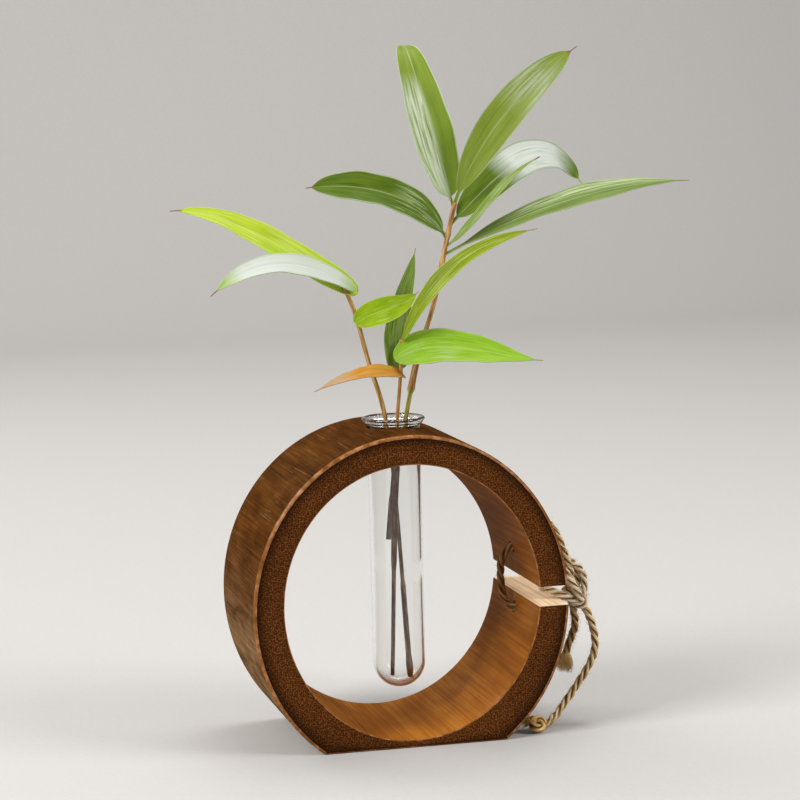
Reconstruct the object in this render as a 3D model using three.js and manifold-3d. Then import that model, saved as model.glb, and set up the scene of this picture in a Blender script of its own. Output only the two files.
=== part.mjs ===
// Bamboo ring vase: a slice of culm on edge, a hanging glass tube, a twine lashing and three leafy sprigs.
// Millimetres, +Z up. The origin is the centre of the sawn foot. The culm's axis runs along Y, front at -Y.
import * as THREE from 'three';
import { mergeVertices } from 'three/addons/utils/BufferGeometryUtils.js';
import Module from 'manifold-3d';

const wasm = await Module();
wasm.setup();

// Fits
const SEAT_GAP = 0.3; // between pieces that touch
const TUBE_PLAY = 0.3; // round the glass in its hole
const TWINE_PLAY = 0.8; // round the twine in its holes

// Bamboo ring: an upright oval slice with a flat foot
const RING_WIDTH = 120;
const RING_HEIGHT = 128.8; // before the foot is sawn
const RING_DEPTH = 64;
const FOOT_CUT = 12.2; // height sawn off for the foot
const WALL_SIDE = 11.5;
const WALL_TOP = 11;
const WALL_FOOT = 2.6; // left under the bore at the foot
const EDGE_CHAMFER = 1.2;
const GAP_WIDTH = 7.4; // saw gap in the right side
const GAP_RISE = 1; // middle of the gap above the ring's centre
const RING_SEGMENTS = 56;

// Glass tube, hung by its lip on the crown of the ring
const TUBE_DIAMETER = 20;
const TUBE_LENGTH = 103;
const TUBE_WALL = 1;
const TUBE_SIDE = 1.6; // the hole sits a little right of the crown
const LIP_DIAMETER = 24;
const LIP_HEIGHT = 2.3;
const TUBE_SEGMENTS = 36;

// Twine lashing across the gap
const TWINE = 3;
const LASH_ABOVE = 13.8; // hole mouths inside the ring, from the middle of the gap
const LASH_BELOW = 9.4;
const LASH_TILT_UP = 25; // the drilled holes lean away from the gap, in degrees
const LASH_TILT_DOWN = 18;
const KNOT_STANDOFF = 6.4; // knot centre off the ring's skin
const KNOT_FORWARD = 14.5; // knot centre in front of mid-depth
const KNOT_RISE = 0.6; // and above the middle of the gap
const KNOT_RADIUS = 4.4;
const KNOT_TURNS = [[0.5, 0.35, 1.6], [-0.35, -0.5, -1.8]]; // tilts about X and Y, and rise of each turn
const END_KNOT_RADIUS = 2.6;
const END_KNOT_TURNS = [[0.3, 0.9, 0]];
const TURN_SINK = 0.4; // how deep a knot's turns lie in its core
const FRAY_RADIUS = 2.7;
const FRAY_LENGTH = 7;
const FRAY_WIDEST = 0.8; // share of its length
const TWINE_SIDES = 8;
const LOOP_STEPS = 40;
const LONG_TAIL_STEPS = 22;
const SHORT_TAIL_STEPS = 12;
const TUCKED_STEPS = 6;

// Sprigs
const LEFT_STEM = 2.2; // stem diameters
const FRONT_STEM = 1.9;
const TALL_STEM = 2.7;
const STEM_TAPER = 0.78; // diameter at the top, as a share of that at the foot
const JOINT_SWELL = 0.28; // how much thicker a twig's joint is
const JOINT_SPREAD = 0.012; // its reach, as a share of the stem
const STEM_STEPS = 44;
const STEM_SIDES = 8;
const LEAF_THICKNESS = 0.5;
const LEAF_STALK = 0.7; // half width of the stalk
const LEAF_STALK_SHARE = 0.06; // of the leaf's length
const LEAF_TAIL_SHARE = 0.05; // thin point past the blade
const LEAF_CUP = 0.16; // rise of the edges over the midrib, per half width
const LEAF_STEPS = 12;
const LEAF_STEP_BIAS = 1.15; // closer steps at the base
const LEAF_UNDERSIDE = 0.95; // width of the underside, as a share of the top

// Derived places
const ringCentre = RING_HEIGHT / 2 - FOOT_CUT;
const crown = RING_HEIGHT - FOOT_CUT;
const boreHalfWidth = RING_WIDTH / 2 - WALL_SIDE;
const boreHalfHeight = (crown - WALL_TOP - WALL_FOOT) / 2;
const boreCentre = WALL_FOOT + boreHalfHeight;
const gapCentre = ringCentre + GAP_RISE;
const tubeRadius = TUBE_DIAMETER / 2;
const tubeBore = tubeRadius - TUBE_WALL;
const lipTop = crown + SEAT_GAP + LIP_HEIGHT;
const tubeBottom = lipTop - TUBE_LENGTH;
const mouth = new THREE.Vector3(TUBE_SIDE, 0, lipTop);

const vec = (x, y, z) => new THREE.Vector3(x, y, z);
const lerp = THREE.MathUtils.lerp;
const radians = THREE.MathUtils.degToRad;

// Half width of an oval at a height
function ovalHalfWidth(halfWidth, halfHeight, centre, z) {
  return halfWidth * Math.sqrt(1 - ((z - centre) / halfHeight) ** 2);
}
const skinAt = (z) => ovalHalfWidth(RING_WIDTH / 2, RING_HEIGHT / 2, ringCentre, z);
const boreAt = (z) => ovalHalfWidth(boreHalfWidth, boreHalfHeight, boreCentre, z);

// Solids for joining and cutting
function toSolid(geometry) {
  const bare = geometry.clone();
  bare.deleteAttribute('normal');
  bare.deleteAttribute('uv');
  const merged = mergeVertices(bare, 1e-4);
  return new wasm.Manifold(new wasm.Mesh({
    numProp: 3,
    vertProperties: new Float32Array(merged.attributes.position.array),
    triVerts: new Uint32Array(merged.index.array),
  }));
}

function toGeometry(solid) {
  const mesh = solid.getMesh();
  const geometry = new THREE.BufferGeometry();
  geometry.setAttribute('position', new THREE.BufferAttribute(mesh.vertProperties, 3));
  geometry.setIndex(new THREE.BufferAttribute(mesh.triVerts, 1));
  return geometry;
}

// Closed skin over rings of equally many points, with a fan at each end
function loft(rings) {
  const count = rings[0].length;
  const positions = rings.flat().flatMap((p) => [p.x, p.y, p.z]);
  const indices = [];
  for (let r = 0; r + 1 < rings.length; r += 1) {
    for (let i = 0; i < count; i += 1) {
      const a = r * count + i;
      const b = r * count + ((i + 1) % count);
      indices.push(a, b, b + count, a, b + count, a + count);
    }
  }
  const last = (rings.length - 1) * count;
  for (let i = 1; i + 1 < count; i += 1) {
    indices.push(0, i + 1, i);
    indices.push(last, last + i, last + i + 1);
  }
  const geometry = new THREE.BufferGeometry();
  geometry.setAttribute('position', new THREE.Float32BufferAttribute(positions, 3));
  geometry.setIndex(indices);
  return geometry;
}

// Round rod along a curve, with a radius that changes along it
function rod(curve, radiusAt, steps, sides) {
  const frames = curve.computeFrenetFrames(steps);
  const rings = [];
  for (let k = 0; k <= steps; k += 1) {
    const t = k / steps;
    const centre = curve.getPointAt(t);
    const radius = radiusAt(t);
    const ring = [];
    for (let i = 0; i < sides; i += 1) {
      const angle = (i / sides) * 2 * Math.PI;
      ring.push(centre.clone()
        .addScaledVector(frames.normals[k], radius * Math.cos(angle))
        .addScaledVector(frames.binormals[k], radius * Math.sin(angle)));
    }
    rings.push(ring);
  }
  return loft(rings);
}

// Twine along a route
function twine(points, steps, grow = 0) {
  const section = new THREE.Shape();
  const radius = TWINE / 2 + grow;
  for (let i = 0; i < TWINE_SIDES; i += 1) {
    const angle = (i / TWINE_SIDES) * 2 * Math.PI;
    const place = [radius * Math.cos(angle), radius * Math.sin(angle)];
    if (i === 0) section.moveTo(...place);
    else section.lineTo(...place);
  }
  const path = new THREE.CatmullRomCurve3(points);
  return new THREE.ExtrudeGeometry(section, { steps, extrudePath: path, curveSegments: 1 });
}

// A round pin along a direction, used to drill holes
function drill(radius, length, centre, direction) {
  const turn = new THREE.Quaternion().setFromUnitVectors(vec(0, 1, 0), direction.clone().normalize());
  return new THREE.CylinderGeometry(radius, radius, length, 24)
    .applyQuaternion(turn)
    .translate(centre.x, centre.y, centre.z);
}

// Lashing holes: mouth inside the ring, direction outwards and mouth on the skin
function lashHole(z, tilt) {
  const inner = vec(boreAt(z), 0, z);
  const out = vec(Math.cos(radians(tilt)), 0, Math.sin(radians(tilt)));
  let reach = WALL_SIDE;
  for (let pass = 0; pass < 6; pass += 1) {
    reach = (skinAt(z + reach * out.z) - inner.x) / out.x;
  }
  return { inner, out, outer: inner.clone().addScaledVector(out, reach), reach };
}
const upperHole = lashHole(gapCentre + LASH_ABOVE, LASH_TILT_UP);
const lowerHole = lashHole(gapCentre - LASH_BELOW, -LASH_TILT_DOWN);

// Bamboo ring
function ovalShape(halfWidth, halfHeight, centre, start, end) {
  return new THREE.Shape().absellipse(0, centre, halfWidth, halfHeight, start, end, false);
}

function bambooRing() {
  const footAngle = Math.asin(ringCentre / (RING_HEIGHT / 2));
  const outline = ovalShape(RING_WIDTH / 2, RING_HEIGHT / 2, ringCentre, -footAngle, Math.PI + footAngle);
  const body = new THREE.ExtrudeGeometry(outline, {
    depth: RING_DEPTH - 2 * EDGE_CHAMFER,
    bevelThickness: EDGE_CHAMFER,
    bevelSize: EDGE_CHAMFER,
    bevelOffset: -EDGE_CHAMFER,
    bevelSegments: 1,
    curveSegments: RING_SEGMENTS,
  }).rotateX(Math.PI / 2).translate(0, RING_DEPTH / 2 - EDGE_CHAMFER, 0);
  const bore = new THREE.ExtrudeGeometry(
    ovalShape(boreHalfWidth, boreHalfHeight, boreCentre, 0, 2 * Math.PI),
    { depth: 2 * RING_DEPTH, bevelEnabled: false, curveSegments: RING_SEGMENTS },
  ).rotateX(Math.PI / 2).translate(0, RING_DEPTH, 0);
  const gap = new THREE.BoxGeometry(2 * WALL_SIDE, 2 * RING_DEPTH, GAP_WIDTH)
    .translate(RING_WIDTH / 2 - WALL_SIDE / 2, 0, gapCentre);
  const tubeHole = drill(tubeRadius + TUBE_PLAY, 3 * WALL_TOP, vec(TUBE_SIDE, 0, crown), vec(0, 0, 1));
  let ring = toSolid(body).subtract(toSolid(bore)).subtract(toSolid(gap)).subtract(toSolid(tubeHole));
  for (const hole of [upperHole, lowerHole]) {
    const middle = hole.inner.clone().addScaledVector(hole.out, hole.reach / 2);
    ring = ring.subtract(toSolid(drill(TWINE / 2 + TWINE_PLAY, 3 * hole.reach, middle, hole.out)));
  }
  return toGeometry(ring);
}

// Glass tube: one closed wall, round at the bottom, with a rolled lip
function glassTube() {
  const profile = [];
  const arcSteps = 7;
  for (let i = 0; i <= arcSteps; i += 1) {
    const angle = (i / arcSteps) * (Math.PI / 2);
    profile.push([tubeRadius * Math.sin(angle), tubeRadius - tubeRadius * Math.cos(angle)]);
  }
  const lipRadius = LIP_DIAMETER / 2;
  const round = LIP_HEIGHT / 3;
  profile.push([tubeRadius, TUBE_LENGTH - LIP_HEIGHT]);
  profile.push([lipRadius - round, TUBE_LENGTH - LIP_HEIGHT]);
  profile.push([lipRadius, TUBE_LENGTH - 2 * round]);
  profile.push([lipRadius, TUBE_LENGTH - round]);
  profile.push([lipRadius - round, TUBE_LENGTH]);
  profile.push([tubeBore + round, TUBE_LENGTH]);
  profile.push([tubeBore, TUBE_LENGTH - round]);
  for (let i = arcSteps; i >= 0; i -= 1) {
    const angle = (i / arcSteps) * (Math.PI / 2);
    profile.push([tubeBore * Math.sin(angle), tubeRadius - tubeBore * Math.cos(angle)]);
  }
  const points = profile.map(([r, h]) => new THREE.Vector2(r, h));
  return new THREE.LatheGeometry(points, TUBE_SEGMENTS).rotateX(Math.PI / 2);
}

// Knot that closes the lashing: a core with two crossed turns of twine
const knot = vec(skinAt(gapCentre) + KNOT_STANDOFF, -KNOT_FORWARD, gapCentre + KNOT_RISE);

function knotTurns(centre, radius, turns, grow) {
  let solid = toSolid(new THREE.SphereGeometry(radius + grow, 16, 10).translate(...centre));
  for (const [tiltX, tiltY, rise] of turns) {
    const turn = new THREE.TorusGeometry(radius - TURN_SINK, TWINE / 2 + grow, TWINE_SIDES, 18)
      .rotateX(tiltX)
      .rotateY(tiltY)
      .translate(centre.x, centre.y, centre.z + rise);
    solid = solid.add(toSolid(turn));
  }
  return solid;
}

// The tucked end lies in the gap, clear of both sawn faces
const tuckedEnd = [
  knot,
  vec(knot.x - 5.5, knot.y - 2.2, gapCentre + 0.1),
  vec(knot.x - 9.5, knot.y - 3.2, gapCentre + 0.3),
  vec(knot.x - 12.5, knot.y - 3.4, gapCentre + 0.9),
];

function lashingKnot(grow = 0) {
  const turns = knotTurns(knot, KNOT_RADIUS, KNOT_TURNS, grow);
  return turns.add(toSolid(twine(tuckedEnd, TUCKED_STEPS, grow)));
}

// Lashing loop: up from the knot to the upper hole, down inside the ring and back through the lower hole
const skinTo = (z, off) => skinAt(z) + off;
const loopRoute = [
  knot,
  vec(knot.x - 0.8, knot.y - 0.8, knot.z + 5),
  vec(skinTo(gapCentre + 10.3, 4.8), knot.y - 2.2, gapCentre + 10.3),
  vec(skinTo(gapCentre + 15.3, 4), knot.y - 3.2, gapCentre + 15.3),
  vec(skinTo(gapCentre + 19.2, 3.4), knot.y - 3.4, gapCentre + 19.2),
  vec(skinTo(gapCentre + 22.4, 3), knot.y - 1.8, gapCentre + 22.4),
  vec(skinTo(gapCentre + 23.8, 3), knot.y + 2.2, gapCentre + 23.8),
  vec(skinTo(gapCentre + 23.6, 3), knot.y + 6.5, gapCentre + 23.6),
  vec(skinTo(gapCentre + 22.2, 3), knot.y + 9.8, gapCentre + 22.2),
  upperHole.outer.clone().addScaledVector(upperHole.out, 2).add(vec(0, -1, 0.4)),
  upperHole.outer.clone().addScaledVector(upperHole.out, -2.5),
  upperHole.inner.clone().addScaledVector(upperHole.out, -0.8),
  vec(boreAt(gapCentre + 9) - 4.6, 1, gapCentre + 9),
  vec(boreAt(gapCentre + 3.8) - 5.4, 2, gapCentre + 3.8),
  vec(boreAt(gapCentre - 1.7) - 5.2, 2, gapCentre - 1.7),
  vec(boreAt(gapCentre - 6) - 4.2, 1.2, gapCentre - 6),
  lowerHole.inner.clone().addScaledVector(lowerHole.out, -0.8),
  lowerHole.outer.clone().addScaledVector(lowerHole.out, -2),
  lowerHole.outer.clone().addScaledVector(lowerHole.out, 2.2).add(vec(0, -1.2, 0.4)),
  vec(knot.x - 2.4, knot.y + 9.6, gapCentre - 8.4),
  vec(knot.x - 1, knot.y + 5.6, gapCentre - 3),
  knot,
];

// Free tails: hand-chosen routes from the knot
const longTailRoute = [
  knot,
  vec(69.5, -15.6, 47.4),
  vec(72.8, -15.4, 41.2),
  vec(74.8, -15, 34.8),
  vec(75.3, -14.6, 29.5),
  vec(74.2, -14, 24.4),
  vec(71.3, -13.4, 18.8),
  vec(66.9, -13, 12.4),
  vec(62.8, -13.2, 7.2),
  vec(59.3, -14.8, 3.7),
  vec(55.6, -17.6, 2),
  vec(52, -20.8, 1.7),
  vec(49.6, -22.9, 1.7),
];
const shortTailRoute = [
  knot,
  vec(67.4, -10.8, 46.8),
  vec(68.8, -9, 41.8),
  vec(69.6, -7.6, 36.6),
  vec(68.4, -6, 31.2),
  vec(66.9, -5.2, 26.8),
  vec(66.5, -5, 24.4),
];

// A tail's far end, its direction there and the piece that sits on it
function tailEnd(route) {
  const path = new THREE.CatmullRomCurve3(route);
  return { end: path.getPoint(1), heading: path.getTangent(1) };
}

function endKnot() {
  const { end, heading } = tailEnd(longTailRoute);
  const reach = END_KNOT_RADIUS + TWINE / 2 - TURN_SINK + SEAT_GAP;
  const centre = end.clone().addScaledVector(heading, reach);
  centre.z = reach;
  return toGeometry(knotTurns(centre, END_KNOT_RADIUS, END_KNOT_TURNS, 0));
}

function fray() {
  const { end, heading } = tailEnd(shortTailRoute);
  const start = end.clone().addScaledVector(heading, SEAT_GAP);
  const axis = new THREE.LineCurve3(start, start.clone().addScaledVector(heading, FRAY_LENGTH));
  const bulge = (t) => Math.sin((t / FRAY_WIDEST) * (Math.PI / 2)) ** 2;
  return rod(axis, (t) => lerp(TWINE / 2, FRAY_RADIUS, bulge(t)), 6, 10);
}

// Stems: a foot in the tube, then points above the mouth, with joints of the twig as swellings
function tubeFloor(offset, stemRadius) {
  const spread = Math.hypot(offset.x, offset.y) + stemRadius;
  return tubeBottom + tubeRadius - Math.sqrt(tubeBore ** 2 - spread ** 2) + SEAT_GAP;
}

function standingFoot(offset, stemRadius) {
  return vec(mouth.x + offset.x, offset.y, tubeFloor(offset, stemRadius));
}

// A short stem leans on the wall of the tube instead of standing on its floor
function leaningFoot(angle, stemRadius, depth) {
  const spread = tubeBore - stemRadius - SEAT_GAP;
  return vec(mouth.x + spread * Math.cos(angle), spread * Math.sin(angle), mouth.z - depth);
}

const aboveMouth = (x, y, z) => mouth.clone().add(vec(x, y, z));

const stems = {
  left: {
    diameter: LEFT_STEM,
    foot: standingFoot(vec(4.6, 0.9, 0), LEFT_STEM / 2),
    above: [[-3.3, -1.5, 0], [-9.3, -2, 21.6], [-14.2, -2, 40.6], [-18.3, -1.2, 51.7]],
    joints: [0.62, 0.9],
  },
  front: {
    diameter: FRONT_STEM,
    foot: leaningFoot(radians(235), FRONT_STEM / 2, 45),
    above: [[0.6, -4, 0], [2.5, -3.5, 18], [2.9, -3.6, 30]],
    joints: [0.84],
  },
  tall: {
    diameter: TALL_STEM,
    foot: standingFoot(vec(-1.9, 4, 0), TALL_STEM / 2),
    above: [[2.4, 4, -16], [6, 4, 0], [11.4, 5.2, 22], [18.6, 6.8, 42], [24.2, 8.4, 64], [28.6, 10, 80]],
    joints: [0.6, 0.87, 0.93],
  },
};
for (const stem of Object.values(stems)) {
  stem.curve = new THREE.CatmullRomCurve3([stem.foot, ...stem.above.map((p) => aboveMouth(...p))]);
}

function stemRod(stem, grow = 0) {
  const bump = (t, at) => JOINT_SWELL * Math.exp(-(((t - at) / JOINT_SPREAD) ** 2));
  const swelling = (t) => stem.joints.reduce((sum, at) => sum + bump(t, at), 1);
  const radiusAt = (t) => (stem.diameter / 2) * lerp(1, STEM_TAPER, t) * swelling(t) + grow;
  return rod(stem.curve, radiusAt, STEM_STEPS, STEM_SIDES);
}

// Room that a leaf stalk leaves round its stem
function stemSeat(stem) {
  const topRadius = (stem.diameter / 2) * STEM_TAPER;
  const cap = drill(topRadius + SEAT_GAP, 2 * SEAT_GAP, stem.curve.getPointAt(1), stem.curve.getTangentAt(1));
  return toSolid(stemRod(stem, SEAT_GAP)).add(toSolid(cap));
}

// Point on a stem at a height above the mouth
function stemPoint(stem, height) {
  let low = 0;
  let high = 1;
  for (let pass = 0; pass < 24; pass += 1) {
    const middle = (low + high) / 2;
    if (stem.curve.getPointAt(middle).z < mouth.z + height) low = middle;
    else high = middle;
  }
  return stem.curve.getPointAt(high);
}

// Leaves: a bend of out, over and tip from the stem, the blade's width, its outline and the way it faces.
// A blade with a start has no stalk: its round base folds past the stem and lies against it.
const leaves = [
  {
    name: 'left_leaf_far', stem: 'left', node: 50, start: [5.4, 1.6, -2.2],
    out: [-18.6, 3, 11.5], over: [-41.6, 8, 32], tip: [-62, 17, 30],
    width: 12.4, base: 0.35, point: 0.65, faces: [[0.2, -0.75, 0.6]],
  },
  {
    name: 'left_leaf_near', stem: 'left', node: 51.7, start: [5, -0.4, -2.6],
    out: [-8, -2.6, 6.2], over: [-30, -6, 16.5], tip: [-53.3, -19.7, -1.1],
    width: 10.6, base: 0.5, point: 0.75, faces: [[0.3, -0.7, 0.65], [0, -0.55, 0.83]],
  },
  {
    name: 'left_leaf_small', stem: 'left', node: 36.5, start: [-1.4, -1.1, 0.2],
    out: [6.1, -4.4, 5.8], over: [16, -1.2, 4.2], tip: [23.9, 1.2, 10.9],
    width: 10, base: 0.45, point: 0.8, faces: [[0.1, -0.95, 0.3]],
  },
  {
    name: 'front_leaf_old', stem: 'front', node: 16.5, start: [0.9, -1.5, -0.6],
    out: [-10, -8.5, 4.2], over: [-24.5, -12, 1.6], tip: [-36.5, -16, -3.4],
    width: 7, base: 0.3, point: 0.95, faces: [[0, -0.6, 0.8]],
  },
  {
    name: 'front_leaf_upright', stem: 'front', node: 19, start: [-0.6, 1.4, -1.2],
    out: [-3.7, 4.5, 13.5], over: [4.4, 3.4, 30.5], tip: [8.1, 5, 44.3],
    width: 10.4, base: 0.26, point: 0.8, faces: [[0.25, -0.95, 0.1]],
  },
  {
    name: 'front_leaf_broad', stem: 'front', node: 23.4, start: [-2.6, -1.3, -1.2],
    out: [10.8, -5, 9.6], over: [35, -17, -1], tip: [48.5, -24, -1.6],
    width: 14.8, base: 0.5, point: 1, faces: [[0, -0.84, 0.54], [0, -0.75, 0.66]],
  },
  {
    name: 'front_leaf_rising', stem: 'front', node: 28.6, start: [0.3, -1.55, 0.6],
    out: [6.9, -14, 21.8], over: [20.6, -15, 36.6], tip: [48.2, -20.5, 41.6],
    width: 7.6, base: 0.7, point: 0.85, faces: [[-0.6, -0.6, 0.55]],
  },
  {
    name: 'tall_leaf_upright', stem: 'tall', node: 77.5,
    out: [-5, 7, 21.4], over: [-17, 1, 69], tip: [-10, 34, 61],
    width: 17.5, base: 0.42, point: 0.8, faces: [[0.3, -0.95, 0.1], [-0.1, -0.5, 0.8]],
  },
  {
    name: 'tall_leaf_top', stem: 'tall', node: 80,
    out: [8.5, -5, 24.8], over: [25, -10.5, 43.5], tip: [45, -14.4, 57.6],
    width: 14, base: 0.6, point: 0.55, faces: [[0.1, -0.95, 0.25], [-0.45, -0.85, 0.25]],
  },
  {
    name: 'tall_leaf_arching', stem: 'tall', node: 71.5,
    out: [18.5, 1, 17], over: [42.5, 18.6, 39], tip: [60.5, 23.7, 12.5],
    width: 16, base: 0.5, point: 0.7, faces: [[0, -0.75, 0.65]],
  },
  {
    name: 'tall_leaf_narrow', stem: 'tall', node: 63,
    out: [12.4, -5.8, 9.3], over: [19.2, -8, 26.1], tip: [35, -10.6, 33.5],
    width: 5, base: 0.6, point: 0.85, faces: [[-0.6, -0.38, 0.66]],
  },
  {
    name: 'tall_leaf_long', stem: 'tall', node: 60,
    out: [29.2, -5, 16], over: [60.6, -11.4, 26.2], tip: [92.4, -18.6, 26.2],
    width: 12.5, base: 1.1, point: 0.9, faces: [[0.2, -0.5, 0.85]],
  },
  {
    name: 'tall_leaf_left', stem: 'tall', node: 66,
    out: [-11, 1.6, 19.4], over: [-32.4, 11.2, 22.4], tip: [-50.2, 19.2, 20.4],
    width: 14.5, base: 0.55, point: 0.5, faces: [[0, -0.8, 0.6]],
  },
];

// Outline of a bamboo leaf: a narrow stalk, a round base and a long point
function leafHalfWidth(leaf, t) {
  const stalk = leaf.start ? 0 : LEAF_STALK_SHARE;
  const u = THREE.MathUtils.clamp((t - stalk) / (1 - stalk - LEAF_TAIL_SHARE), 0, 1);
  const widest = leaf.base / (leaf.base + leaf.point);
  const outline = (s) => s ** leaf.base * (1 - s) ** leaf.point;
  const tipWidth = lerp(LEAF_STALK, LEAF_THICKNESS / 2, t);
  return Math.max((leaf.width / 2) * outline(u) / outline(widest), tipWidth);
}

function leafBlade(leaf) {
  const stem = stems[leaf.stem];
  const origin = stemPoint(stem, leaf.node);
  const bend = [leaf.start ?? [0, 0, 0], leaf.out, leaf.over, leaf.tip];
  const curve = new THREE.CubicBezierCurve3(...bend.map((p) => origin.clone().add(vec(...p))));
  const faceBase = vec(...leaf.faces[0]);
  const faceTip = vec(...leaf.faces.at(-1));
  const rings = [];
  for (let k = 0; k <= LEAF_STEPS; k += 1) {
    const blade = (k / (LEAF_STEPS - 1)) ** LEAF_STEP_BIAS * (1 - LEAF_TAIL_SHARE);
    const t = Math.min(blade, 1);
    const centre = curve.getPointAt(t);
    const along = curve.getTangentAt(t);
    const side = along.clone().cross(faceBase.clone().lerp(faceTip, t)).normalize();
    const up = side.clone().cross(along);
    const half = leafHalfWidth(leaf, t);
    const place = (s, lift) => centre.clone()
      .addScaledVector(side, s * half)
      .addScaledVector(up, LEAF_CUP * half * s * s + lift);
    const skin = LEAF_THICKNESS / 2;
    rings.push([
      ...[-1, -0.5, 0, 0.5, 1].map((s) => place(s, skin)),
      ...[LEAF_UNDERSIDE, 0, -LEAF_UNDERSIDE].map((s) => place(s, -skin)),
    ]);
  }
  return toGeometry(toSolid(loft(rings)).subtract(stemSeat(stem)));
}

// Scene graph
const part = new THREE.Group();

function add(name, geometry, material, parent = part) {
  const mesh = new THREE.Mesh(geometry, material);
  mesh.name = name;
  parent.add(mesh);
  return mesh;
}

const finish = (color, roughness) => new THREE.MeshStandardMaterial({ color, roughness, metalness: 0 });
const carbonised = () => finish(0x5a3218, 0.45);
const glass = () => new THREE.MeshStandardMaterial({
  color: 0xe8eeee, roughness: 0.05, metalness: 0, transparent: true, opacity: 0.35,
});
const hemp = () => finish(0xb59a6f, 0.95);
const twig = () => finish(0xa87a3c, 0.6);
const leafGreen = () => finish(0x6f9a2b, 0.5);
const leafOld = () => finish(0xb8803c, 0.6);

add('bamboo_ring', bambooRing(), carbonised());

const tube = add('glass_tube', glassTube(), glass());
tube.position.set(TUBE_SIDE, 0, tubeBottom);

const knotSeat = lashingKnot(SEAT_GAP);
const fromKnot = (route, steps) => toGeometry(toSolid(twine(route, steps)).subtract(knotSeat));
add('lashing_loop', fromKnot(loopRoute, LOOP_STEPS), hemp());
add('lashing_knot', toGeometry(lashingKnot()), hemp());
add('long_tail', fromKnot(longTailRoute, LONG_TAIL_STEPS), hemp());
add('long_tail_knot', endKnot(), hemp());
add('short_tail', fromKnot(shortTailRoute, SHORT_TAIL_STEPS), hemp());
add('short_tail_fray', fray(), hemp());

for (const [name, stem] of Object.entries(stems)) {
  add(`${name}_stem`, stemRod(stem), twig());
}
for (const leaf of leaves) {
  add(leaf.name, leafBlade(leaf), leaf.name === 'front_leaf_old' ? leafOld() : leafGreen());
}

export default part;
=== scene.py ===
import math

import bpy
import numpy as np
from mathutils import Matrix, Vector


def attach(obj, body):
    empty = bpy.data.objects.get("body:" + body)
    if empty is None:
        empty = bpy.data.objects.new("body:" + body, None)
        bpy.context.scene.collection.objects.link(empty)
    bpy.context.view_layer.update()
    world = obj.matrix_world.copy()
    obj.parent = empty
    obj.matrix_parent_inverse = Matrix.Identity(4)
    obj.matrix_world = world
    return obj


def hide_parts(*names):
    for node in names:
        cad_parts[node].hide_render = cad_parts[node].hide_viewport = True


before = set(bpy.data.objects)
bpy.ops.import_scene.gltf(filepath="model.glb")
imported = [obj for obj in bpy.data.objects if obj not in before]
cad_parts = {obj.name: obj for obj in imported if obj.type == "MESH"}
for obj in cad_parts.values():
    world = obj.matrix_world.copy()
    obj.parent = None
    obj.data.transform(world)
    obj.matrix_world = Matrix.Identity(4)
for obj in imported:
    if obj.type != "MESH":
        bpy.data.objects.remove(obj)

# Lengths are millimetres in the part's own frame, except where a comment says metres
MM = 0.001
rng = np.random.default_rng(7)
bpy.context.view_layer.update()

# Camera, at the photo's angle
CAMERA_AZIMUTH = math.radians(-13.62)
CAMERA_ELEVATION = math.radians(6.72)
CAMERA_ROLL = math.radians(-1.42)
CAMERA_DISTANCE = 1009.27
CAMERA_TARGET = (4.43, 0, 125.95)
CAMERA_LENS = 120.33
CAMERA_FAR = 20  # metres


def add_object(name, data):
    """New object in the scene."""
    made = bpy.data.objects.new(name, data)
    bpy.context.scene.collection.objects.link(made)
    return made


def place_camera():
    """Looks at the target from the photo's side, with its slight roll."""
    level = math.cos(CAMERA_ELEVATION)
    aside, ahead = math.sin(CAMERA_AZIMUTH), math.cos(CAMERA_AZIMUTH)
    back = Vector((aside * level, -ahead * level, math.sin(CAMERA_ELEVATION)))
    right = (-back).cross(Vector((0, 0, 1))).normalized()
    up = right.cross(-back)
    turn, lean = math.cos(CAMERA_ROLL), math.sin(CAMERA_ROLL)
    across = right * turn + up * lean
    upward = up * turn - right * lean
    place = (Vector(CAMERA_TARGET) + back * CAMERA_DISTANCE) * MM
    data = bpy.data.cameras.new("camera")
    data.lens = CAMERA_LENS
    data.clip_end = CAMERA_FAR
    camera = add_object("camera", data)
    axes = Matrix((across, upward, back)).transposed().to_4x4()
    camera.matrix_world = Matrix.Translation(place) @ axes
    bpy.context.scene.camera = camera


# Lines and shapes
SPAN_POINTS = 40
LEAST_GAP = 1e-6


def unit(v):
    v = np.asarray(v, float)
    return v / np.linalg.norm(v, axis=-1, keepdims=True)


def run_along(line):
    """Length from the start of a line to each of its points."""
    return np.concatenate([[0], np.cumsum(np.linalg.norm(np.diff(line, axis=0), axis=1))])


def curve_span(q, share):
    """Centripetal curve between the middle two of four points."""
    gap = np.maximum(np.linalg.norm(np.diff(q, axis=0), axis=1), LEAST_GAP) ** 0.5
    start = (q[1] - q[0]) / gap[0] - (q[2] - q[0]) / (gap[0] + gap[1]) + (q[2] - q[1]) / gap[1]
    end = (q[2] - q[1]) / gap[1] - (q[3] - q[1]) / (gap[1] + gap[2]) + (q[3] - q[2]) / gap[2]
    start, end = start * gap[1], end * gap[1]
    t = share[:, None]
    square = -3 * q[1] + 3 * q[2] - 2 * start - end
    cube = 2 * q[1] - 2 * q[2] + start + end
    return q[1] + start * t + square * t ** 2 + cube * t ** 3


def smooth_line(points, step):
    """Smooth line through the points, in equal steps."""
    p = np.asarray(points, float)
    p = np.vstack([2 * p[0] - p[1], p, 2 * p[-1] - p[-2]])
    share = np.linspace(0, 1, SPAN_POINTS, endpoint=False)
    spans = [curve_span(p[i - 1:i + 3], share) for i in range(1, len(p) - 2)]
    line = np.vstack(spans + [p[-2:-1]])
    length = run_along(line)[-1]
    return points_at(line, np.linspace(0, length, max(int(round(length / step)), 2) + 1))


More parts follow.
